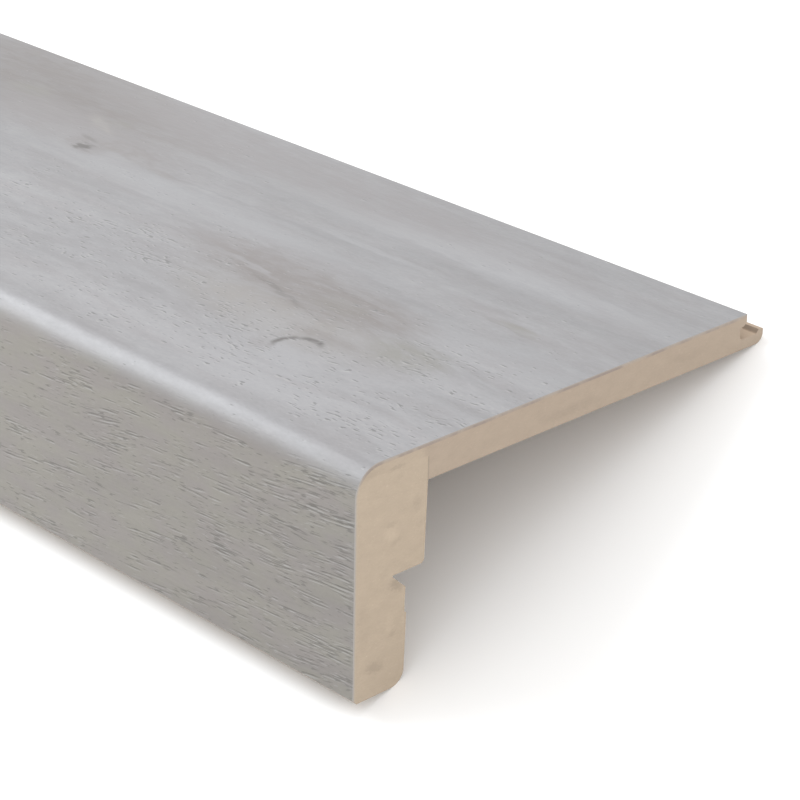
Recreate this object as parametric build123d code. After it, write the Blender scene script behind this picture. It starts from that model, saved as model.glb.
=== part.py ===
"""Landing nosing for a laminate floor: a flooring board whose decor face turns down over a nosing block.

The section is drawn as installed, in millimetres: x is the depth back from the front face, y is the
height, and the walking surface is at y = 0. Each piece is extruded along the length of the stock.
The finished part is then turned to lie as it does on a level floor, on the heel of the block and the
tip of the click edge: X runs along the length, -Y is the nose side and the floor is at Z = 0.
"""

from build123d import *
from math import asin, atan2, cos, degrees, hypot, radians, sin, tan
import os

# Overall sizes
length = 2387.6
overall_height = 50.8
face_depth = 114.3
nose_radius = 6.35
bottom_edge_bevel = 1.1

# Decor laminate, one sheet bent over the nose
laminate_thickness = 0.8

# Flooring board, rabbeted over the block
board_thickness = 8.0
rabbet_lip = 2.8

# Nosing block, whose back faces lean in towards the bottom
block_depth = 19.3
leg_depth = 14.15
back_lean = 1.9
shoulder_drop = 25.75
shoulder_ease = 0.6
notch_depth = 3.85
notch_height = 3.6
notch_floor = 0.35
relief_depth = 0.35
relief_height = 5.4
relief_step = 0.5
heel_radius = 3.5

# Click edge along the back of the board
upper_lip_thickness = 2.6
upper_lip_bevel = 0.85
groove_depth = 2.0
groove_radius = 0.9
lower_lip_reach = 5.8
lower_lip_thickness = 2.45
locking_crest_drop = 4.65
locking_crest_width = 1.5
locking_crest_fall = 0.15
locking_wall_run = 0.75
locking_crest_ease = 0.25
tip_radius = 2.3


def leaned(depth, top, height):
    """The depth of a back face at some height, when the face starts higher up at its full depth."""
    return depth - (top - height) * tan(radians(back_lean))


# The leg starts below the shoulder, the notch and the relief, and leans in down to the heel
leg_top = -(shoulder_drop + notch_height + relief_height + relief_step)
heel_depth = leaned(leg_depth, leg_top, -overall_height)


def nearest_corner(section, x, y):
    """The corner of a section that lies closest to a point."""
    return section.vertices().sort_by_distance((x, y, 0))[0]


def round_corners(section, corners):
    """Rounds each corner of a section, given as its x, its y and its radius."""
    for x, y, radius in corners:
        section = fillet(nearest_corner(section, x, y), radius)
    return section


def click_edge_points():
    """The back of the board, from the walking surface down to the underside."""
    tip = face_depth + lower_lip_reach
    floor = lower_lip_thickness - board_thickness
    crest_back = tip - locking_crest_width
    groove_back = face_depth - groove_depth
    return [
        (face_depth, 0),
        (face_depth, upper_lip_bevel - upper_lip_thickness),
        (face_depth - upper_lip_bevel, -upper_lip_thickness),
        (groove_back, -upper_lip_thickness),
        (groove_back, floor),
        (crest_back - locking_wall_run, floor),
        (crest_back, -locking_crest_drop),
        (tip, -locking_crest_drop - locking_crest_fall),
        (tip, -board_thickness),
    ]


def click_edge_rounds():
    """The rounded corners of the click edge."""
    tip = face_depth + lower_lip_reach
    floor = lower_lip_thickness - board_thickness
    groove_back = face_depth - groove_depth
    return [
        (groove_back, -upper_lip_thickness, groove_radius),
        (groove_back, floor, groove_radius),
        (tip - locking_crest_width, -locking_crest_drop, locking_crest_ease),
        (tip, -locking_crest_drop - locking_crest_fall, locking_crest_ease),
        (tip, -board_thickness, tip_radius),
    ]


def block_back_points():
    """The back and bottom of the block, from under the board round to the front face."""
    shoulder_corner = leaned(block_depth, -board_thickness, shoulder_ease - shoulder_drop)
    notch_root = leg_depth - notch_depth
    notch_bottom = -(shoulder_drop + notch_height)
    relief_top = (leg_depth - relief_depth, notch_bottom)
    relief_bottom = (leaned(*relief_top, notch_bottom - relief_height), notch_bottom - relief_height)
    return [
        (block_depth, -board_thickness),
        (shoulder_corner, shoulder_ease - shoulder_drop),
        (shoulder_corner - shoulder_ease, -shoulder_drop),
        (notch_root, -shoulder_drop),
        (notch_root, -shoulder_drop - notch_floor),
        relief_top,
        relief_bottom,
        (leg_depth, leg_top),
        (heel_depth, -overall_height),
        (bottom_edge_bevel, -overall_height),
        (0, bottom_edge_bevel - overall_height),
    ]


def whole_section():
    """The outline of the complete moulding."""
    outline = Polyline((0, 0), *click_edge_points(), *block_back_points(), close=True)
    rounds = [(0, 0, nose_radius), (heel_depth, -overall_height, heel_radius)]
    return round_corners(make_face(outline), rounds + click_edge_rounds())


def wood_zone():
    """Everything behind the laminate: its back faces and the nose bend are this zone's edges."""
    width = face_depth + lower_lip_reach
    corner = Pos(laminate_thickness, -laminate_thickness)
    zone = corner * Rectangle(width, overall_height, align=(Align.MIN, Align.MAX))
    inner_radius = nose_radius - laminate_thickness
    return round_corners(zone, [(laminate_thickness, -laminate_thickness, inner_radius)])


def block_zone():
    """The room under the board's rabbet, in front of the glued joint."""
    corner = Pos(0, -rabbet_lip)
    return corner * Rectangle(block_depth, overall_height, align=(Align.MIN, Align.MAX))


def laminate_section():
    return whole_section() - wood_zone()


def board_section():
    return (whole_section() & wood_zone()) - block_zone()


def block_section():
    return whole_section() & wood_zone() & block_zone()


def resting_tilt():
    """Degrees that the back drops by, until the heel and the tip of the lower lip share one floor."""
    lean = radians(back_lean)
    heel_x = heel_depth - heel_radius * (1 - sin(lean)) / cos(lean)
    heel_y = heel_radius - overall_height
    tip_x = face_depth + lower_lip_reach - tip_radius
    tip_y = tip_radius - board_thickness
    run = tip_x - heel_x
    rise = tip_y - heel_y
    turn_for_radii = asin((heel_radius - tip_radius) / hypot(run, rise))
    return degrees(atan2(rise, run) + turn_for_radii)


def stock(section):
    """A piece of the moulding as long as the stock, lying tilted but not yet set on the floor."""
    solid = extrude(Plane.YZ * section, amount=length / 2, both=True)
    return Rot(-resting_tilt(), 0, 0) * solid


def set_on_floor(pieces):
    """Moves the pieces together until the origin is under the middle of the part."""
    box = Compound(list(pieces.values())).bounding_box()
    middle = box.center()
    return {name: Pos(0, -middle.Y, -box.min.Z) * piece for name, piece in pieces.items()}


pieces = {
    "laminate_face": stock(laminate_section()),
    "click_board": stock(board_section()),
    "nosing_block": stock(block_section()),
}

os.makedirs("parts", exist_ok=True)
for name, piece in set_on_floor(pieces).items():
    export_step(piece, f"parts/{name}.step")
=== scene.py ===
"""Looks of the landing nosing: the decor sheet, the board and the block as fine meshes with node finishes.

Section points are as installed, in millimetres: depth back from the front face, and height, with the
walking surface at 0. Places on the decor sheet are given by along, the distance from the near cut end,
and across, the distance over the unrolled sheet, which equals the depth on the walking surface, turns
negative round the nose and runs on down the front face.
"""

import bpy
from math import asin, atan2, ceil, cos, degrees, hypot, radians, sin, sqrt, tan
from mathutils import Matrix, Vector


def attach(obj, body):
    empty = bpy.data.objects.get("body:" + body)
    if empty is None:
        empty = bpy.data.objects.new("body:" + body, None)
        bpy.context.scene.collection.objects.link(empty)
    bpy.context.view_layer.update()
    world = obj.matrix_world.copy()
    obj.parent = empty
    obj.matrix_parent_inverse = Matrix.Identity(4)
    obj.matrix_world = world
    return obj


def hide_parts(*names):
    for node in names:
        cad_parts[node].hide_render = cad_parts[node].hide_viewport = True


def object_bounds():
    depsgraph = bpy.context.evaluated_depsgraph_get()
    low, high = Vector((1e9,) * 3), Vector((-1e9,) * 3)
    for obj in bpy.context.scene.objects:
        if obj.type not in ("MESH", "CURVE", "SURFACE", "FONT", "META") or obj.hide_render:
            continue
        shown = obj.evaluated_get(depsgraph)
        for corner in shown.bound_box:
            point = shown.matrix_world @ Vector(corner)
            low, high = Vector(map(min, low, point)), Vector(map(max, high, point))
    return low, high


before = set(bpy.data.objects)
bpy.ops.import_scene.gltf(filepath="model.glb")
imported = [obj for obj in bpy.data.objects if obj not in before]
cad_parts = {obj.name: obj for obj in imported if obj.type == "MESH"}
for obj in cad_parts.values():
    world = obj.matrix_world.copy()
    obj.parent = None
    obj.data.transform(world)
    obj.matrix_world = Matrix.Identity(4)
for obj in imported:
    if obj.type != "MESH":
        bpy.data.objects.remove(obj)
cad_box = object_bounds()

MM = 0.001

# Section sizes, the same as the solids have
face_depth = 114.3
overall_height = 50.8
nose_radius = 6.35
bottom_edge_bevel = 1.1
laminate_thickness = 0.8
board_thickness = 8.0
rabbet_lip = 2.8
block_depth = 19.3
leg_depth = 14.15
back_lean = 1.9
shoulder_drop = 25.75
shoulder_ease = 0.6
notch_depth = 3.85
notch_height = 3.6
notch_floor = 0.35
relief_depth = 0.35
relief_height = 5.4
relief_step = 0.5
heel_radius = 3.5
upper_lip_thickness = 2.6
upper_lip_bevel = 0.85
groove_depth = 2.0
groove_radius = 0.9
lower_lip_reach = 5.8
lower_lip_thickness = 2.45
locking_crest_drop = 4.65
locking_crest_width = 1.5
locking_crest_fall = 0.15
locking_wall_run = 0.75
locking_crest_ease = 0.25
tip_radius = 2.3
tip = face_depth + lower_lip_reach

# How finely the meshes are cut
arc_step = 5.0
ring_spacing = 40.0
sharp_angle = 25.0


def leaned(depth, top, height):
    """The depth of a leaning back face at some height."""
    return depth - (top - height) * tan(radians(back_lean))


leg_top = -(shoulder_drop + notch_height + relief_height + relief_step)
heel_depth = leaned(leg_depth, leg_top, -overall_height)

# Depth of the middle of the heel's arc
heel_middle = heel_depth - heel_radius * (1 - sin(radians(back_lean))) / cos(radians(back_lean))


# Resting place

def resting_tilt():
    """Degrees that the back drops by when heel and lower lip stand on one floor."""
    run = tip - tip_radius - heel_middle
    rise = (tip_radius - board_thickness) - (heel_radius - overall_height)
    turn_for_radii = asin((heel_radius - tip_radius) / hypot(run, rise))
    return degrees(atan2(rise, run) + turn_for_radii)


def rest_matrix():
    """Turns a point as installed, along X from the near end, into its place in the row frame."""
    tilt = radians(resting_tilt())
    front_corner_y = (bottom_edge_bevel - overall_height) * sin(tilt)
    heel_z = -heel_middle * sin(tilt) + (heel_radius - overall_height) * cos(tilt)
    shift = Vector((cad_box[1][0], cad_box[0][1] - front_corner_y * MM, (heel_radius - heel_z) * MM))
    return Matrix.Translation(shift) @ Matrix.Rotation(-tilt, 4, "X") @ Matrix.Scale(MM, 4)


rest = rest_matrix()
turn = rest.to_3x3().normalized().to_4x4()
length = (cad_box[1][0] - cad_box[0][0]) / MM


# Section outlines

def rounded(corners):
    """Points of a path whose corners are (depth, height) or (depth, height, radius)."""
    points = []
    for i, corner in enumerate(corners):
        here = Vector(corner[:2])
        if len(corner) == 2:
            points.append(here)
            continue
        back = (Vector(corners[i - 1][:2]) - here).normalized()
        ahead = (Vector(corners[(i + 1) % len(corners)][:2]) - here).normalized()
        half = back.angle(ahead) / 2
        middle = here + (back + ahead).normalized() * corner[2] / sin(half)
        start = here + back * corner[2] / tan(half)
        end = here + ahead * corner[2] / tan(half)
        points += arc_points(middle, start, end)
    return points


def arc_points(middle, start, end):
    """Points of an arc about a middle, from start to end the short way."""
    first = start - middle
    last = end - middle
    sweep = atan2(first.x * last.y - first.y * last.x, first.dot(last))
    count = max(2, ceil(abs(degrees(sweep)) / arc_step))
    turns = [Matrix.Rotation(sweep * i / count, 2) for i in range(count + 1)]
    return [middle + spin @ first for spin in turns]


def click_edge():
    """The back of the board, from under the laminate down to the underside."""
    floor = lower_lip_thickness - board_thickness
    crest_back = tip - locking_crest_width
    groove_back = face_depth - groove_depth
    crest_front = -locking_crest_drop - locking_crest_fall
    return [
        (face_depth, -laminate_thickness),
        (face_depth, upper_lip_bevel - upper_lip_thickness),
        (face_depth - upper_lip_bevel, -upper_lip_thickness),
        (groove_back, -upper_lip_thickness, groove_radius),
        (groove_back, floor, groove_radius),
        (crest_back - locking_wall_run, floor),
        (crest_back, -locking_crest_drop, locking_crest_ease),
        (tip, crest_front, locking_crest_ease),
        (tip, -board_thickness, tip_radius),
    ]


def block_back():
    """The back and bottom of the block, from under the board round to the laminate."""
    shoulder_corner = leaned(block_depth, -board_thickness, shoulder_ease - shoulder_drop)
    notch_root = leg_depth - notch_depth
    notch_bottom = -(shoulder_drop + notch_height)
    relief_top = leg_depth - relief_depth
    relief_bottom = notch_bottom - relief_height
    return [
        (block_depth, -board_thickness),
        (shoulder_corner, shoulder_ease - shoulder_drop),
        (shoulder_corner - shoulder_ease, -shoulder_drop),
        (notch_root, -shoulder_drop),
        (notch_root, -shoulder_drop - notch_floor),
        (relief_top, notch_bottom),
        (leaned(relief_top, notch_bottom, relief_bottom), relief_bottom),
        (leg_depth, leg_top),
        (heel_depth, -overall_height, heel_radius),
        (bottom_edge_bevel, -overall_height),
        (laminate_thickness, -overall_height + bottom_edge_bevel - laminate_thickness),
    ]


def inner_nose(upper_end, lower_end):
    """The bend of the wood under the laminate, from one height to another further down."""
    radius = nose_radius - laminate_thickness
    middle = Vector((nose_radius, -nose_radius))
    ends = []
    for height in (upper_end, lower_end):
        rise = height - middle.y
        ends.append(middle + Vector((-sqrt(radius ** 2 - rise ** 2), rise)))
    return arc_points(middle, *ends)


def board_outline():
    """The board, whose front runs over the block as a thin apron."""
    corners = click_edge() + [(block_depth, -board_thickness), (block_depth, -rabbet_lip)]
    return inner_nose(-laminate_thickness, -rabbet_lip)[::-1] + rounded(corners)


def block_outline():
    """The block under the board's rabbet."""
    corners = [(block_depth, -rabbet_lip)] + block_back()
    return inner_nose(-rabbet_lip, -nose_radius)[::-1] + rounded(corners)


def sheet_paths():
    """The laminate's outer and inner path, with as many points each, from the back edge to the bottom."""
    middle = Vector((nose_radius, -nose_radius))
    count = ceil(90 / arc_step)
    outer = [Vector((face_depth, 0))]
    inner = [Vector((face_depth, -laminate_thickness))]
    for i in range(count + 1):
        angle = radians(90 + 90 * i / count)
        way = Vector((cos(angle), sin(angle)))
        outer.append(middle + way * nose_radius)
        inner.append(middle + way * (nose_radius - laminate_thickness))
    outer.append(Vector((0, bottom_edge_bevel - overall_height)))
    inner.append(Vector((laminate_thickness, bottom_edge_bevel - laminate_thickness - overall_height)))
    return outer, inner


# Meshes

def stations():
    """Distances from the near cut end at which a section is repeated."""
    count = round(length / ring_spacing)
    return [length * i / count for i in range(count + 1)]


def finish_mesh(name, corners, faces, facts, materials, face_materials):
    """Makes an object from installed points, with named vector facts stored on its points."""
    mesh = bpy.data.meshes.new(name)
    points = [rest @ Vector((-along, depth, height)) for along, depth, height in corners]
    mesh.from_pydata(points, [], faces)
    for fact, values in facts.items():
        layer = mesh.attributes.new(fact, "FLOAT_VECTOR", "POINT")
        layer.data.foreach_set("vector", [number for value in values for number in value])
    for material in materials:
        mesh.materials.append(material)
    mesh.polygons.foreach_set("material_index", face_materials)
    mesh.polygons.foreach_set("use_smooth", [True] * len(faces))
    mesh.set_sharp_from_angle(angle=radians(sharp_angle))
    mesh.validate()
    mesh.update()
    piece = bpy.data.objects.new(name, mesh)
    bpy.context.scene.collection.objects.link(piece)
    return piece


def wood_piece(name, outline, milled, sawn):
    """A core piece: an outline run along the stock, with milled sides and sawn ends."""
    rings = stations()
    size = len(outline)
    corners = [(along, point.x, point.y) for along in rings for point in outline]
    faces = []
    for ring in range(len(rings) - 1):
        for i in range(size):
            a = ring * size + i
            b = ring * size + (i + 1) % size
            faces.append((a, b, b + size, a + size))
    milled_slot, sawn_slot = 0, 1
    face_materials = [milled_slot] * len(faces) + [sawn_slot, sawn_slot]
    last = (len(rings) - 1) * size
    faces.append(tuple(range(size))[::-1])
    faces.append(tuple(range(last, last + size)))
    return finish_mesh(name, corners, faces, {"installed": corners}, [milled, sawn], face_materials)


def sheet_piece(name, decor, cut):
    """The laminate: its outer path and inner path run along the stock, closed by cut edges."""
    outer, inner = sheet_paths()
    rings = stations()
    across = [face_depth]
    for before, here in zip(outer, outer[1:]):
        across.append(across[-1] - (here - before).length)
    size = len(outer)
    corners = []
    places = []
    for along in rings:
        for path, inset in ((outer, 0), (inner, laminate_thickness)):
            corners += [(along, point.x, point.y) for point in path]
            places += [(along, at, inset) for at in across]
    decor_slot, cut_slot = 0, 1
    faces = []
    face_materials = []
    for ring in range(len(rings) - 1):
        a = ring * 2 * size
        b = a + 2 * size
        for i in range(size - 1):
            faces.append((a + i, a + i + 1, b + i + 1, b + i))
            faces.append((a + size + i + 1, a + size + i, b + size + i, b + size + i + 1))
            face_materials += [decor_slot, cut_slot]
        faces.append((a, b, b + size, a + size))
        faces.append((a + size - 1, a + 2 * size - 1, b + 2 * size - 1, b + size - 1))
        face_materials += [cut_slot, cut_slot]
    last = (len(rings) - 1) * 2 * size
    for i in range(size - 1):
        faces.append((i, i + size, i + size + 1, i + 1))
        faces.append((last + i, last + i + 1, last + size + i + 1, last + size + i))
        face_materials += [cut_slot, cut_slot]
    facts = {"installed": corners, "sheet": places}
    return finish_mesh(name, corners, faces, facts, [decor, cut], face_materials)


# Node graphs

# How far in from a spot's rim, as a share of its half sizes, it reaches full strength
SPOT_CORE = 0.75


class Wire:
    """An output of a node graph, on which arithmetic adds math nodes."""

    def __init__(self, graph, socket):
        self.graph = graph
        self.socket = socket

    def __add__(self, other):
        return self.graph.math("ADD", self, other)

    def __radd__(self, other):
        return self.graph.math("ADD", other, self)

    def __sub__(self, other):
        return self.graph.math("SUBTRACT", self, other)

    def __rsub__(self, other):
        return self.graph.math("SUBTRACT", other, self)

    def __mul__(self, other):
        return self.graph.math("MULTIPLY", self, other)

    def __truediv__(self, other):
        return self.graph.math("DIVIDE", self, other)


class Graph:
    """A material and the few kinds of node that the finishes are made of."""

    def __init__(self, name):
        self.material = bpy.data.materials.new(name)
        self.material.use_nodes = True
        self.tree = self.material.node_tree
        self.shader = self.tree.nodes["Principled BSDF"]

    def plug(self, value, socket):
        """Gives a socket a wire or a plain value."""
        if isinstance(value, Wire):
            self.tree.links.new(value.socket, socket)
        else:
            socket.default_value = value

    def node(self, kind, inputs, output=0, **settings):
        """Adds a node with its inputs and settings, and returns one of its outputs."""
        node = self.tree.nodes.new(kind)
        for key, value in settings.items():
            setattr(node, key, value)
        for key, value in inputs.items():
            self.plug(value, node.inputs[key])
        return Wire(self, node.outputs[output])

    def vector(self, x, y, z=0.0):
        return self.node("ShaderNodeCombineXYZ", {0: x, 1: y, 2: z})

    def math(self, operation, a, b=0.0):
        return self.node("ShaderNodeMath", {0: a, 1: b}, operation=operation)

    def attribute(self, name):
        """The three numbers of a fact stored on the mesh."""
        fact = self.node("ShaderNodeAttribute", {}, "Vector", attribute_name=name)
        split = self.node("ShaderNodeSeparateXYZ", {0: fact}).socket.node
        return [Wire(self, output) for output in split.outputs]

    def noise(self, x, y, z, detail=2.0):
        """Noise from 0 to 1 with patches about one unit in size; a plain number as z picks a pattern."""
        inputs = {"Vector": self.vector(x, y, z), "Scale": 1.0, "Detail": detail}
        return self.node("ShaderNodeTexNoise", inputs)

    def layer(self, x, y, kind):
        """Noise from 0 to 1 of one kind: patch length, patch width, pattern number and detail."""
        patch_length, patch_width, pattern, detail = kind
        return self.noise(x / patch_length, y / patch_width, pattern, detail)

    def swing(self, x, y, kind):
        """The same noise about its middle, from -0.5 to 0.5."""
        return self.layer(x, y, kind) - 0.5

    def ease(self, value, low, high, start=0.0, end=1.0):
        """Turns smoothly from start to end while the value goes from low to high."""
        inputs = {0: value, 1: low, 2: high, 3: start, 4: end}
        return self.node("ShaderNodeMapRange", inputs, interpolation_type="SMOOTHSTEP")

    def blend(self, amount, first, second):
        """A colour between two others."""
        return self.node("ShaderNodeMix", {0: amount, 6: first, 7: second}, 2, data_type="RGBA")

    def tone(self, colour, amount):
        """A colour made lighter or darker by a share of itself."""
        return self.node("ShaderNodeHueSaturation", {"Value": amount, "Color": colour})

    def spot(self, place, along, across, half_along, half_across, turned=0.0):
        """A soft spot: 1 over its middle, falling off to 0 at its half sizes."""
        inputs = {
            "Vector": place,
            "Location": (along, across, 0.0),
            "Rotation": (0.0, 0.0, radians(turned)),
            "Scale": (half_along, half_across, 1.0),
        }
        within = self.node("ShaderNodeMapping", inputs, vector_type="TEXTURE")
        reach = self.node("ShaderNodeTexGradient", {"Vector": within}, 1, gradient_type="SPHERICAL")
        return self.ease(reach, 0.0, SPOT_CORE)

    def bump(self, height, strength, distance):
        inputs = {"Height": height, "Strength": strength, "Distance": distance}
        return self.node("ShaderNodeBump", inputs)

    def finish(self, colour, roughness, normal=None):
        """Gives the shader its colour, its roughness and, where there is relief, its bumped normal."""
        self.plug(colour, self.shader.inputs["Base Color"])
        self.plug(roughness, self.shader.inputs["Roughness"])
        if normal:
            self.plug(normal, self.shader.inputs["Normal"])
        return self.material


def paint(red, green, blue):
    """A colour as the eye reads it, from 0 to 255, as the light share that a shader takes."""
    return tuple(((value / 255 + 0.055) / 1.055) ** 2.4 for value in (red, green, blue)) + (1.0,)


# Fibreboard

BOARD_CUT = paint(144, 130, 115)
BLOCK_CUT = paint(152, 138, 121)
BOARD_MILLED = paint(157, 139, 121)
BLOCK_MILLED = paint(160, 144, 125)

# Marks on the sawn ends: depth, height, half sizes, degrees turned and how much lighter or darker
SAWN_MARKS = [
    (11.4, -28.2, 3.0, 1.8, -40, -0.20),
    (5.8, -44.4, 3.6, 1.7, -15, -0.16),
    (9.8, -16.6, 2.8, 2.4, 10, 0.07),
    (9.6, -14.4, 2.2, 0.9, 0, -0.08),
    (10.8, -18.6, 2.2, 0.8, 20, -0.08),
    (9.6, -36.0, 1.5, 3.2, 0, 0.07),
    (10.2, -38.6, 1.2, 1.0, 0, -0.10),
    (4.6, -2.1, 5.0, 1.3, 8, -0.08),
    (10.8, -2.7, 3.4, 0.7, 0, -0.12),
    (16.4, -12.0, 1.6, 3.0, 0, -0.06),
    (2.6, -34.0, 2.2, 8.0, 0, -0.05),
    (60.0, -5.5, 14.0, 1.6, 0, -0.06),
    (96.0, -4.0, 9.0, 1.8, 0, -0.06),
]

# Kinds of noise on the sawn ends: patch depth, patch height, pattern number and detail
SAWN_MOTTLE = (3.5, 2.2, 1.0, 4.0)
SAWN_FIBRE = (0.9, 0.35, 2.0, 3.0)
SAWN_RAGGED = (0.8, 0.5, 3.0, 2.0)
SAWN_FLECKS = (0.8, 0.4, 4.0, 1.0)

# Kinds of streak that a cutter leaves along the stock: length, thickness and detail
MILLED_MOTTLE = (60.0, 2.0, 3.0)
MILLED_FIBRE = (6.0, 0.4, 2.0)

# How much lighter or darker the pale fibres and the glued joint are, and the painted light on the groove
# floor and painted shade on the locking wall of the click edge
fleck_light = 0.1
joint_dark = 0.2
# Painted light on the groove floor, and painted shade on the locking wall where the upper lip shades it
groove_floor_painted_light = 0.06
locking_wall_painted_shade = -0.34

mottle_strength = 0.18
fibre_strength = 0.12
fibre_relief = 0.0002

# On the sawn ends: how ragged the marks are, the joint's half width, and how the board's thin front pales
mark_ragged = 2.0
joint_half_width = 0.3
apron_fade = 2.0
apron_pale = 0.85

# The foot of the locking wall, and how far in front of and behind it the groove's painted light and shade
# fade in and out
locking_wall = tip - locking_crest_width - locking_wall_run
wall_blur = 0.3
groove_fade_start = 4.0
groove_fade_end = 3.0
crest_fade_start = 0.9
crest_fade_end = 0.7


def sawn_end(name, colour):
    """Pressed fibre sawn across: mottled and short-fibred, and over the block nearly as pale as it is."""
    g = Graph(name)
    along, depth, height = g.attribute("installed")
    mottle = g.swing(depth, height, SAWN_MOTTLE)
    fibre = g.swing(depth, height, SAWN_FIBRE)
    over_block = g.ease(depth, block_depth, block_depth - apron_fade)
    colour = g.blend(over_block * apron_pale, colour, BLOCK_CUT)
    return fibreboard(g, colour, mottle, fibre, sawn_marks(g, depth, height))


def milled_side(name, colour):
    """Pressed fibre milled along: faintly streaked, with painted shade on the locking wall and painted
    light on the groove floor in the click edge.
    """
    g = Graph(name)
    place = g.attribute("installed")
    mottle = streaks(g, place, MILLED_MOTTLE)
    fibre = streaks(g, place, MILLED_FIBRE)
    return fibreboard(g, colour, mottle, fibre, groove_painted_light_and_shade(g, place[1]))


def fibreboard(g, colour, mottle, fibre, mark):
    """The finish that sawn and milled fibreboard share."""
    lightness = 1.0 + mottle * mottle_strength + fibre * fibre_strength + mark
    return g.finish(g.tone(colour, lightness), 0.8, g.bump(fibre, 0.3, fibre_relief))


def streaks(g, place, kind):
    """Noise from -0.5 to 0.5 that runs along the stock."""
    along, depth, height = place
    streak_length, thickness, detail = kind
    return g.noise(along / streak_length, depth / thickness, height / thickness, detail) - 0.5


def groove_painted_light_and_shade(g, depth):
    """Painted light and shade in the click edge's groove: how much lighter its floor is painted and how
    much darker its locking wall.
    """
    foot_start, foot_end = locking_wall - wall_blur, locking_wall + wall_blur
    # Painted shade on the shaded locking wall, painted light on the lit groove floor
    mark = g.ease(depth, foot_start, foot_end, groove_floor_painted_light, locking_wall_painted_shade)
    mark = mark * g.ease(depth, locking_wall - groove_fade_start, locking_wall - groove_fade_end)
    return mark * g.ease(depth, locking_wall + crest_fade_start, locking_wall + crest_fade_end)


def sawn_marks(g, depth, height):
    """How much lighter or darker a sawn end is at its glued joint, its smears and its loose pale fibres."""
    ragged = g.swing(depth, height, SAWN_RAGGED) * mark_ragged
    place = g.vector(depth + ragged, height + ragged)
    mark = 0.0
    for at, over, half_depth, half_height, turned, change in SAWN_MARKS:
        mark = mark + g.spot(place, at, over, half_depth, half_height, turned) * change
    flecks = g.ease(g.layer(depth, height, SAWN_FLECKS), 0.66, 0.74)
    off_joint = g.math("ABSOLUTE", depth - block_depth)
    joint = g.ease(off_joint, joint_half_width, 0.05) * g.ease(height, -rabbet_lip, -3.2)
    return mark + flecks * fleck_light - joint * joint_dark


# Decor print

GREY = paint(130, 129, 131)
# Painted shade: the front's grey is the top's grey painted darker and warmer, for the weaker, warmer light
# on the front face
FRONT_GREY_WARM_SHADED = paint(124, 120, 112)
PALE = paint(146, 146, 149)
DARK_GREY = paint(114, 113, 115)
MAUVE = paint(117, 113, 114)
BROWN = paint(107, 101, 99)
TAN = paint(126, 122, 119)
OLIVE = paint(110, 108, 100)
LILAC = paint(122, 116, 113)
PORE = paint(84, 80, 74)
TICK = paint(84, 83, 84)
GLINT = paint(161, 160, 158)
KNOT = paint(70, 65, 63)
SHEET_TOP_EDGE = paint(138, 131, 124)
SHEET_FRONT_EDGE = paint(137, 134, 131)
# Painted shade along the seam where the laminate's top meets the core
SEAM_SHADE = paint(114, 102, 97)

# Kinds of noise on the walking surface: patch length, patch width, pattern number and detail
TOP_WANDER = (70.0, 26.0, 3.0, 1.0)
TOP_RAGGED_ALONG = (5.0, 1.6, 11.0, 2.0)
TOP_RAGGED_ACROSS = (7.0, 2.2, 12.0, 2.0)
TOP_BROAD = (120.0, 11.0, 1.0, 1.0)
TOP_MIDDLING = (24.0, 4.2, 2.0, 2.0)
TOP_MOTTLE = (6.5, 2.8, 6.0, 3.0)
TOP_FINE = (3.2, 0.9, 4.0, 2.0)
TOP_SPECK = (1.3, 0.7, 5.0, 1.0)
TOP_TINGE = (24.0, 5.0, 14.0, 2.0)
TOP_CROWD = (16.0, 6.0, 21.0, 2.0)
TOP_SWIRL = (9.0, 5.0, 15.0, 1.0)
TOP_TICKS = (2.4, 0.5, 7.0, 0.6)
TOP_SPARKS = (1.8, 0.6, 8.0, 0.6)

# The same for the front face, then for the satin finish and the painted shade in the chipped seam
FRONT_WANDER = (40.0, 12.0, 31.0, 1.0)
FRONT_BROAD = (60.0, 8.0, 32.0, 2.0)
FRONT_FINE = (9.0, 0.7, 33.0, 2.0)
FRONT_SPECK = (1.3, 0.6, 34.0, 1.0)
FRONT_PATCHES = (12.0, 5.0, 35.0, 2.0)
FRONT_CROWD = (16.0, 3.5, 36.0, 1.0)
FRONT_LONG_PORES = (7.0, 0.33, 37.0, 0.6)
FRONT_SHORT_PORES = (2.6, 0.33, 38.0, 0.6)
FRONT_GLINTS = (3.0, 0.36, 39.0, 0.6)
FRONT_BREAKS = (2.5, 0.4, 40.0, 1.0)
SATIN = (8.0, 1.5, 41.0, 2.0)
CHIPS = (5.0, 1.0, 51.0, 3.0)

# How far noise moves the grain and the marks, in millimetres
top_wander = 6.0
top_swirl = 2.6
mark_ragged_along = 9.0
mark_ragged_across = 3.4
crack_ragged = 2.0
front_wander = 3.0
pore_ragged = 1.5

# How much the grain slants: millimetres across the sheet for each one along it
top_slant = 0.06
front_slant = 0.085

# The lit rim of a pressed pore lies this far across from it
top_rim = 0.45
front_rim = 0.36

# Dashes of noise start to show at the first level and are whole at the second
dash_start = 0.66
dash_whole = 0.73

# Where over the nose the top's print starts to give way to the front's, and where it has
turn_start = 2.5
turn_end = -3.5

emboss_relief = 0.0001

# The print comes round again after this length, measured from a little before the near cut end
print_repeat = 800.0
print_start = -60.0

# Knots that the grain runs round: along, across, half sizes and how far they push it aside
KNOTS = [
    (50, 36, 46, 24, 0.6),
    (178, 77, 34, 11, 0.6),
    (345, 46, 60, 18, 0.7),
    (520, 84, 50, 14, 0.6),
    (655, 38, 44, 15, 0.7),
]

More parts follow.
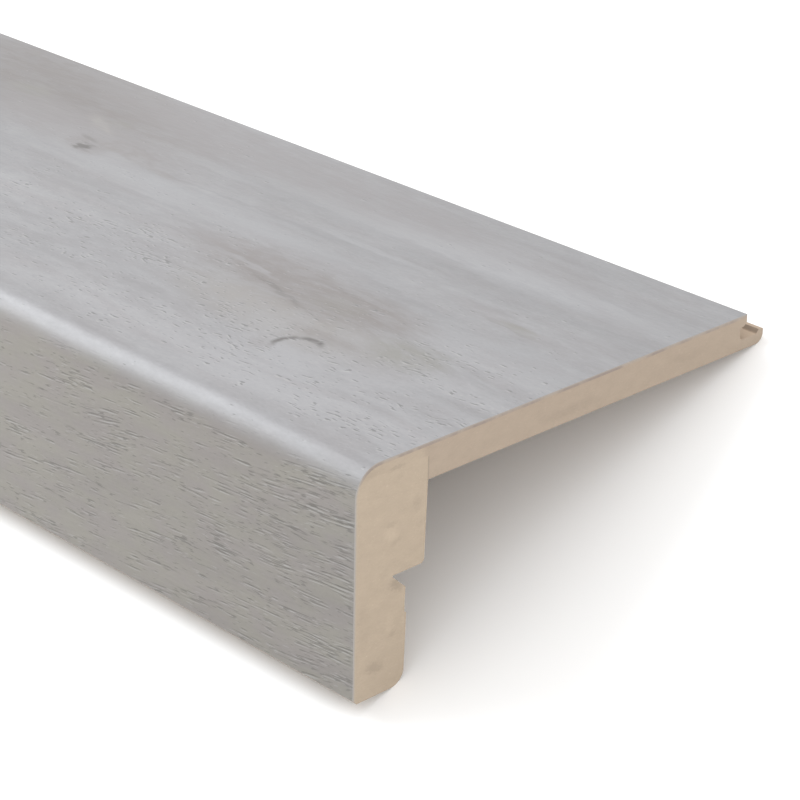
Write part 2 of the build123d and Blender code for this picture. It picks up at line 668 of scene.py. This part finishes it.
# Printed marks: colour, along, across, half sizes, degrees turned and strength, the soft ones first
MARKS = [
    (PALE, 62, 93, 84, 8.0, 0, 0.55),
    (PALE, 154, 89, 42, 3.2, 3, 0.45),
    (PALE, 126, 70, 82, 8.0, 0, 0.40),
    (PALE, 15, 59, 36, 9.0, 0, 0.30),
    (PALE, 45, 16, 36, 13.0, 0, 0.35),
    (PALE, 112, 32, 30, 4.0, 0, 0.30),
    (PALE, 50, 26, 14, 6.0, 10, 0.45),
    (MAUVE, 214, 95, 96, 28.0, 4, 1.0),
    (BROWN, 226, 97, 96, 30.0, 4, 1.0),
    (KNOT, 236, 96, 88, 34.0, 4, 0.25),
    (KNOT, 130, 98, 80, 18.0, 2, 0.09),
    (DARK_GREY, 120, 32, 70, 18.0, 0, 0.50),
    (MAUVE, 197, 82, 46, 13.0, 4, 0.80),
    (MAUVE, 128, 103, 116, 14.0, 2, 0.85),
    (MAUVE, 139, 80, 16, 4.0, 0, 0.35),
    (MAUVE, 164, 58, 24, 7.0, 0, 0.22),
    (MAUVE, 108, 42, 26, 4.0, 3, 0.20),
    (MAUVE, 8, 76, 14, 13.0, 0, 0.25),
    (MAUVE, 30, 71.5, 25, 4.0, 9, 0.62),
    (OLIVE, 27, 71.5, 9, 2.6, 8, 0.55),
    (TAN, 66, 40, 46, 15.0, 0, 0.85),
    (OLIVE, 32, 45, 15, 9.0, 0, 0.60),
    (MAUVE, 96, 56, 44, 10.0, 0, 0.75),
    (BROWN, 78, 54, 48, 14.0, 3, 0.90),
    (BROWN, 56, 53, 26, 12.0, -6, 0.85),
    (OLIVE, 60, 52, 10, 5.0, 0, 0.60),
    (BROWN, 57, 51.5, 14, 4.5, 3, 0.65),
    (BROWN, 76, 48.6, 28, 2.2, 13, 0.60),
    (KNOT, 75, 48.0, 19, 0.9, 13, 0.36),
    (KNOT, 64, 58.0, 16, 0.8, 4, 0.14),
    (KNOT, 128, 77.0, 30, 0.9, -2, 0.14),
    (KNOT, 30, 70.5, 14, 0.8, 8, 0.16),
    (PALE, 92, 53.6, 16, 1.2, 8, 0.40),
    (DARK_GREY, 92, 77.6, 46, 2.4, 0, 0.55),
    (PALE, 80, 79.9, 26, 1.5, 0, 0.35),
    (DARK_GREY, 112, 88.6, 84, 1.4, 0, 0.45),
    (DARK_GREY, 37, 84.3, 46, 1.7, 2, 0.35),
    (DARK_GREY, 54, 65.5, 30, 2.0, 8, 0.50),
    (DARK_GREY, 129, 63.0, 24, 1.2, 0, 0.60),
    (DARK_GREY, 155, 59.0, 56, 2.6, 0, 0.45),
    (DARK_GREY, 135, 54.6, 56, 1.8, 0, 0.35),
    (DARK_GREY, 22, 97.2, 20, 1.3, 6, 0.55),
    (DARK_GREY, 54, 99.2, 6, 1.0, 0, 0.50),
    (TAN, 187, 87.4, 11, 3.0, 22, 0.75),
    (OLIVE, 221, 91.5, 11, 5.0, 0, 0.60),
    (OLIVE, 184, 91.0, 6, 4.0, 20, 0.40),
    (BROWN, 167, 80.5, 13, 5.5, 0, 0.50),
    (BROWN, 52, 38.4, 15, 3.2, 0, 0.55),
    (BROWN, 57.5, 27.5, 6, 3.2, 50, 0.45),
    (BROWN, 45.5, 38.6, 7, 2.6, 0, 0.50),
    (BROWN, 178, 76, 11, 7.0, 10, 0.55),
    (BROWN, 158, 77, 30, 2.4, 7, 0.50),
    (KNOT, 180.5, 78.6, 5.0, 1.5, 8, 0.42),
    (KNOT, 176.6, 73.7, 4.2, 3.0, 0, 0.40),
    (KNOT, 177.0, 73.8, 3.0, 2.6, 0, 1.00),
    (MAUVE, 330, 52, 90, 18.0, 3, 0.50),
    (BROWN, 352, 45, 30, 8.0, 0, 0.50),
    (KNOT, 347, 44, 3.4, 2.0, 0, 0.75),
    (PALE, 300, 78, 80, 6.0, 0, 0.40),
    (DARK_GREY, 410, 71, 70, 2.0, 1, 0.45),
    (PALE, 420, 30, 80, 8.0, 0, 0.35),
    (MAUVE, 440, 100, 100, 9.0, 0, 0.40),
    (BROWN, 524, 84, 34, 7.0, 3, 0.50),
    (KNOT, 521, 86, 4.0, 1.6, 12, 0.70),
    (DARK_GREY, 560, 58, 80, 2.2, 0, 0.45),
    (PALE, 590, 68, 70, 5.0, 0, 0.40),
    (TAN, 640, 36, 50, 12.0, 0, 0.50),
    (BROWN, 660, 40, 26, 6.0, 4, 0.50),
    (KNOT, 652, 37, 2.6, 1.6, 0, 0.70),
    (DARK_GREY, 690, 92, 60, 1.8, 2, 0.45),
]

# The open crack beside the nearest knot, part of a ring: middle, radius, half width, and where it shows
crack_middle = (50.2, 30.1)
crack_radius = 5.6
crack_half_width = 1.4
CRACK_SPOTS = [(55.4, 31.6, 4.6, 6.0), (50.6, 35.6, 5.6, 3.6), (48.6, 35.6, 1.6, 1.6)]

# Where small pores crowd on the walking surface: along, across and half sizes
CROWDED = [(68, 30, 26, 14), (31, 44, 14, 9), (120, 44, 50, 12), (20, 14, 30, 12)]

# The longest pores of the front face: along, across, half length, half width and degrees turned
DRAWN_PORES = [
    (15, -6.4, 20, 0.4, -6),
    (17, -5.4, 18, 0.35, -6),
    (24, -13.0, 12, 0.35, -3),
    (5, -15.3, 7, 0.4, -2),
    (18, -15.7, 8, 0.35, -2),
    (17, -16.9, 9, 0.3, -2),
    (55, -15.9, 7, 0.4, -2),
    (60, -39.9, 10, 0.4, -1),
    (46, -42.6, 11, 0.35, -6),
    (93, -36.8, 8, 0.4, 0),
    (50, -31.5, 9, 0.35, 1),
    (79, -29.0, 6, 0.35, 2),
    (98, -13.5, 7, 0.35, -2),
    (84, -19.0, 8, 0.35, 0),
]


def round_knots(g, along, across):
    """The distance over the sheet with the grain pushed aside round each knot."""
    bent = across
    flat = g.vector(along, across)
    for at, over, half_along, half_across, push in KNOTS:
        bent = bent - (across - over) * g.spot(flat, at, over, half_along, half_across) * push
    return bent


def crack(g, place):
    """How dark the open crack is: a thin ring that shows only in a few spots."""
    middle_along, middle_across = crack_middle
    inputs = {0: place, 1: (middle_along, middle_across, 0.0)}
    radius = g.node("ShaderNodeVectorMath", inputs, "Value", operation="DISTANCE")
    off_ring = g.math("ABSOLUTE", radius - crack_radius)
    near = 0.0
    for spot in CRACK_SPOTS:
        near = g.math("MAXIMUM", near, g.spot(place, *spot))
    return g.ease(off_ring, crack_half_width, 0.0) * near


def dashes(g, along, across, kind, amount):
    """Short strokes along the grain, more of them where the amount is higher."""
    return g.ease(g.layer(along, across, kind) + amount, dash_start, dash_whole)


def top_print(g, along, across):
    """Colour of the walking surface, and the height of its embossing."""
    bent = round_knots(g, along, across) + g.swing(along, across, TOP_WANDER) * top_wander
    ragged_along = g.swing(along, across, TOP_RAGGED_ALONG)
    ragged_across = g.swing(along, across, TOP_RAGGED_ACROSS)
    mark_place = g.vector(
        along + ragged_along * mark_ragged_along,
        across + ragged_across * mark_ragged_across,
    )
    crack_place = g.vector(along + ragged_along * crack_ragged, across + ragged_across * crack_ragged)

    broad = g.swing(along, bent, TOP_BROAD)
    middling = g.swing(along, bent, TOP_MIDDLING)
    mottle = g.swing(along, bent, TOP_MOTTLE)
    fine = g.swing(along, bent, TOP_FINE)
    speck = g.swing(along, across, TOP_SPECK)
    lightness = 1.0 + broad * 0.3 + middling * 0.24 + mottle * 0.26 + fine * 0.14 + speck * 0.18
    # Painted shading: the walking surface is painted darker towards the back edge and lighter near the
    # nose, for how the light falls off over it
    lightness = lightness * g.ease(across, 104.0, 4.0, 0.86, 1.04)
    tinge = g.ease(g.layer(along, bent, TOP_TINGE), 0.42, 0.66)
    colour = g.tone(g.blend(tinge * 0.35, GREY, MAUVE), lightness)

    streaky = g.ease(middling + mottle + fine * 0.5, -0.22, 0.18, 1.0, 0.5)
    for paint_colour, at, over, half_along, half_across, turned, strength in MARKS:
        mark = g.spot(mark_place, at, over, half_along, half_across, turned) * strength
        colour = g.blend(mark if paint_colour == KNOT else mark * streaky, colour, paint_colour)
    colour = g.blend(crack(g, crack_place) * 0.95, colour, KNOT)

    crowd = g.swing(along, across, TOP_CROWD) * 0.34
    amount = crowd - g.ease(across, 40.0, 80.0, 0.012, 0.09) - g.ease(across, 10.0, 5.0, 0.0, 0.08)
    for at, over, half_along, half_across in CROWDED:
        amount = amount + g.spot(mark_place, at, over, half_along, half_across) * 0.05
    grain = across + along * top_slant + g.swing(along, across, TOP_SWIRL) * top_swirl
    ticks = dashes(g, along, grain, TOP_TICKS, amount)
    glints = dashes(g, along, grain + top_rim, TOP_TICKS, amount)
    sparks = dashes(g, along, grain, TOP_SPARKS, amount)
    colour = g.blend(glints * 0.3, colour, GLINT)
    colour = g.blend(sparks * 0.15, colour, GLINT)
    colour = g.blend(ticks * 0.75, colour, TICK)
    return colour, fine * 0.5 + speck * 0.4 - ticks * 0.6


def front_print(g, along, across):
    """Colour of the front face, where the pores are long dark strokes, and the height of its embossing."""
    grain = across + along * front_slant + g.swing(along, across, FRONT_WANDER) * front_wander
    broad = g.swing(along, grain, FRONT_BROAD)
    fine = g.swing(along, grain, FRONT_FINE)
    speck = g.swing(along, grain, FRONT_SPECK)
    lightness = 1.0 + broad * 0.3 + fine * 0.16 + speck * 0.12
    # Painted shading: the front is painted darker towards the near cut end, and painted lighter just under
    # the nose where the nose's highlight spills over
    lightness = lightness * g.ease(along, 0.0, 150.0, 0.965, 1.06) * g.ease(across, -16.0, -4.0, 1.0, 1.03)
    patches = g.ease(g.layer(along, across, FRONT_PATCHES), 0.35, 0.65)
    # The front's grey carries painted warm shade; the lilac patches are the print's own
    colour = g.tone(g.blend(patches * 0.8, FRONT_GREY_WARM_SHADED, LILAC), lightness)

    amount = g.swing(along, grain, FRONT_CROWD) * 0.52 + g.ease(along, 60.0, 10.0, -0.03, 0.01)
    long_pores = dashes(g, along, grain, FRONT_LONG_PORES, amount + 0.02)
    short_pores = dashes(g, along, grain, FRONT_SHORT_PORES, amount + 0.03)
    lit_edges = dashes(g, along, grain + front_rim, FRONT_LONG_PORES, amount + 0.02)
    glints = dashes(g, along, grain, FRONT_GLINTS, amount)
    ragged = g.vector(along, across + fine * pore_ragged)
    drawn = 0.0
    for pore in DRAWN_PORES:
        drawn = g.math("MAXIMUM", drawn, g.spot(ragged, *pore))
    drawn = drawn * g.ease(g.layer(along, grain, FRONT_BREAKS), 0.4, 0.6)
    colour = g.blend(lit_edges * 0.4, colour, GLINT)
    colour = g.blend(glints * 0.25, colour, GLINT)
    colour = g.blend(long_pores * 0.78, colour, PORE)
    colour = g.blend(short_pores * 0.65, colour, PORE)
    colour = g.blend(drawn * 0.75, colour, PORE)
    return colour, fine * 0.5 + speck * 0.3 - long_pores - short_pores * 0.7 - drawn


def decor_face():
    """The printed and embossed oak: soft marks and streaks on top, dark pores down the front."""
    g = Graph("printed_decor")
    along, across, inset = g.attribute("sheet")
    wrapped = g.math("FLOORED_MODULO", along - print_start, print_repeat) + print_start
    front = g.ease(across, turn_start, turn_end)
    top_colour, top_height = top_print(g, wrapped, across)
    front_colour, front_height = front_print(g, along, across)
    colour = g.blend(front, top_colour, front_colour)
    height = top_height * (1.0 - front) + front_height * front
    roughness = 0.34 + g.layer(along, across, SATIN) * 0.12
    g.shader.inputs["Coat Weight"].default_value = 0.5
    g.shader.inputs["Coat Roughness"].default_value = 0.5
    return g.finish(colour, roughness, g.bump(height, 0.5, emboss_relief))


def cut_laminate():
    """The cut edge of the laminate: grey at its face and brown behind, with painted shade in broken dashes
    along its seam on top.
    """
    g = Graph("laminate_cut_edge")
    along, across, inset = g.attribute("sheet")
    grit = g.noise(along * 2.0, across * 2.0, inset * 3.0)
    front = g.ease(across, 4.0, -2.0)
    surface = g.blend(front, SHEET_TOP_EDGE, SHEET_FRONT_EDGE)
    colour = g.blend(g.ease(inset, 0.0, 0.8), surface, g.blend(front, BOARD_CUT, BLOCK_CUT))
    chips = g.ease(g.layer(across, 0.5, CHIPS), 0.36, 0.64, 0.1, 0.9)
    # Painted shade in broken dashes along the seam under the laminate's top
    seam_shade = g.ease(inset, 0.05, 0.4) * chips * (1.0 - front)
    colour = g.blend(seam_shade * 0.8, colour, SEAM_SHADE)
    return g.finish(g.tone(colour, 0.9 + grit * 0.2), 0.6, g.bump(grit, 0.3, emboss_relief))


# Stage

eye = (334.746, -315.823, 225.849)
view_azimuth = 45.6593
view_elevation = 24.6307
view_roll = 1.1363
lens = 123.550

floor_half = 30.0
floor_paint = paint(242, 242, 242)
sky_strength = 1.14

# Lamps: name, direction as installed, distance, width, depth, power and colour
LAMPS = [
    ("far_end", (-0.78, -0.26, 0.60), 1.8, 1.3, 1.1, 22.0, (0.93, 0.97, 1.0)),
    ("near_end", (1.0, 0.15, 0.34), 1.5, 1.2, 0.8, 10.0, (1.0, 0.98, 0.95)),
]
lamp_aim = (-100, 50, 0)


def photo_camera():
    """The view of the photograph, which moves with the part as it is laid down to rest."""
    data = bpy.data.cameras.new("photo_view")
    data.sensor_width = 36.0
    data.lens = lens
    data.clip_end = 50.0
    camera = bpy.data.objects.new("photo_view", data)
    bpy.context.scene.collection.objects.link(camera)
    aim = Matrix.Rotation(radians(view_azimuth), 4, "Z")
    tip_down = Matrix.Rotation(radians(90 - view_elevation), 4, "X")
    roll = Matrix.Rotation(radians(view_roll), 4, "Z")
    place = Matrix.Translation(rest @ Vector(eye))
    camera.matrix_world = place @ turn @ aim @ tip_down @ roll
    bpy.context.scene.camera = camera


def softbox(name, direction, distance, width, depth, power, colour):
    """A large soft lamp, in a direction given as installed, aimed at the near end."""
    data = bpy.data.lights.new(name, "AREA")
    data.shape = "RECTANGLE"
    data.size = width
    data.size_y = depth
    data.energy = power
    data.color = colour
    lamp = bpy.data.objects.new(name, data)
    bpy.context.scene.collection.objects.link(lamp)
    way = (turn @ Vector(direction)).normalized()
    place = rest @ Vector(lamp_aim) + way * distance
    lamp.matrix_world = Matrix.Translation(place) @ way.to_track_quat("Z", "Y").to_matrix().to_4x4()


def studio():
    """A pale floor, an even pale sky and two soft lamps."""
    mesh = bpy.data.meshes.new("studio_floor")
    half = floor_half
    corners = [(-half, -half, 0), (half, -half, 0), (half, half, 0), (-half, half, 0)]
    mesh.from_pydata(corners, [], [(0, 1, 2, 3)])
    floor = bpy.data.objects.new("studio_floor", mesh)
    bpy.context.scene.collection.objects.link(floor)
    g = Graph("studio_floor")
    mesh.materials.append(g.finish(floor_paint, 0.9))
    world = bpy.data.worlds.new("studio_sky")
    world.use_nodes = True
    sky = world.node_tree.nodes["Background"]
    sky.inputs["Color"].default_value = (1.0, 1.0, 1.0, 1.0)
    sky.inputs["Strength"].default_value = sky_strength
    bpy.context.scene.world = world
    for lamp in LAMPS:
        softbox(*lamp)
    bpy.context.scene.view_settings.view_transform = "Standard"


# The part

laminate = sheet_piece("decor_laminate_sheet", decor_face(), cut_laminate())
board = wood_piece(
    "click_board_core",
    board_outline(),
    milled_side("board_milled", BOARD_MILLED),
    sawn_end("board_sawn", BOARD_CUT),
)
block = wood_piece(
    "nosing_block_core",
    block_outline(),
    milled_side("block_milled", BLOCK_MILLED),
    sawn_end("block_sawn", BLOCK_CUT),
)
for piece, node, slot in (
    (laminate, "laminate_face", "decor_laminate"),
    (board, "click_board", "board_core"),
    (block, "nosing_block", "block_core"),
):
    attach(piece, "root")
    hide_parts(node)

photo_camera()
studio()
